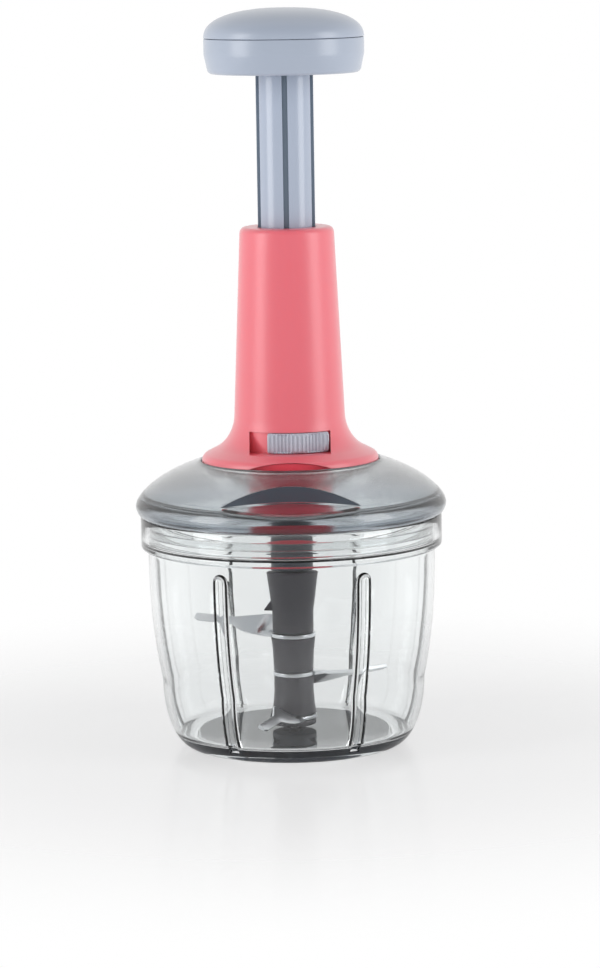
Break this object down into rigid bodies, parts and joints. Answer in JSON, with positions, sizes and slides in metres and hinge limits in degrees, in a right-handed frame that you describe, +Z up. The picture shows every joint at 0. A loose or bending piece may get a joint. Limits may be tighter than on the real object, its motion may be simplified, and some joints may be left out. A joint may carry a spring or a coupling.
{
  "type": "plunger food chopper",
  "caption": "Hand-pushed food chopper: clear bowl, bladed rotor, smoked lid, red handle with a lock slider, and a sprung plunger that spins the blades.",
  "frame": {"origin": "centre of the bowl's foot, on the surface that the chopper stands on", "axes": "+Z up along the plunger's axis; the front with the lock slider faces -Y; +X is to the right seen from the front"},
  "size_m": [0.124, 0.124, 0.2941],
  "materials": {
    "clear_plastic": "clear, glossy, moulded",
    "smoked_plastic": "smoke grey, see-through, glossy",
    "red_plastic": "coral red, slightly see-through, satin gloss",
    "pale_grey_plastic": "pale blue-grey, satin",
    "slider_plastic": "pale grey, satin",
    "hub_plastic": "dark grey, satin",
    "drive_plastic": "dark grey, satin",
    "insert_plastic": "dark grey, matt",
    "white_nylon": "white, satin",
    "seal_rubber": "translucent white, matt",
    "steel": "bright"
  },
  "bodies": {
    "bowl_unit": {"bowl": "clear_plastic", "base_insert": "insert_plastic", "pivot_pin": "steel"},
    "blade_rotor": {"rotor_spindle": "drive_plastic", "hub_foot": "hub_plastic", "hub_bottom": "hub_plastic", "hub_middle": "hub_plastic", "hub_top": "hub_plastic", "blade_upper": "steel", "blade_middle": "steel", "blade_lower": "steel"},
    "lid_unit": {"lid": "smoked_plastic", "lid_gasket": "seal_rubber", "handle_housing": "red_plastic", "handle_base": "red_plastic", "boss_cover": "red_plastic", "clamp_screw_1": "steel", "clamp_screw_2": "steel", "clamp_screw_3": "steel", "guide_sleeve": "white_nylon", "return_spring": "steel", "spring_seat": "steel", "thrust_washer": "white_nylon"},
    "drive": {"spiral_rod": "steel", "clutch_driver": "drive_plastic", "clutch_pin": "steel", "drive_coupling": "drive_plastic"},
    "plunger": {"plunger_tube": "pale_grey_plastic", "tube_plug": "pale_grey_plastic", "knob_base": "pale_grey_plastic", "knob_cap": "pale_grey_plastic", "knob_screw": "steel", "drive_nut": "white_nylon"},
    "lock": {"lock_slider": "slider_plastic"}
  },
  "joints": [
    {"name": "lid_lift", "type": "slide", "parent": "bowl_unit", "child": "lid_unit", "axis": [0, 0, 1], "range_m": [0, 0.07]},
    {"name": "blade_spin", "type": "hinge", "parent": "bowl_unit", "child": "blade_rotor", "pos_m": [0, 0, 0.0078], "axis": [0, 0, 1], "continuous": true},
    {"name": "plunger_press", "type": "slide", "parent": "lid_unit", "child": "plunger", "axis": [0, 0, 1], "range_m": [-0.055, 0], "stiffness_N_per_m": 180, "springref_m": 0.028, "deforming": ["return_spring"]},
    {"name": "drive_spin", "type": "hinge", "parent": "lid_unit", "child": "drive", "pos_m": [0, 0, 0.09], "axis": [0, 0, 1], "continuous": true},
    {"name": "lock_slide", "type": "hinge", "parent": "lid_unit", "child": "lock", "pos_m": [0, 0, 0.12], "axis": [0, 0, 1], "range_deg": [-15, 0]}
  ],
  "couplings": [
    {"joint": "drive_spin", "follows": "plunger_press", "rad_per_m": -174.53},
    {"joint": "blade_spin", "follows": "plunger_press", "rad_per_m": -174.53}
  ]
}
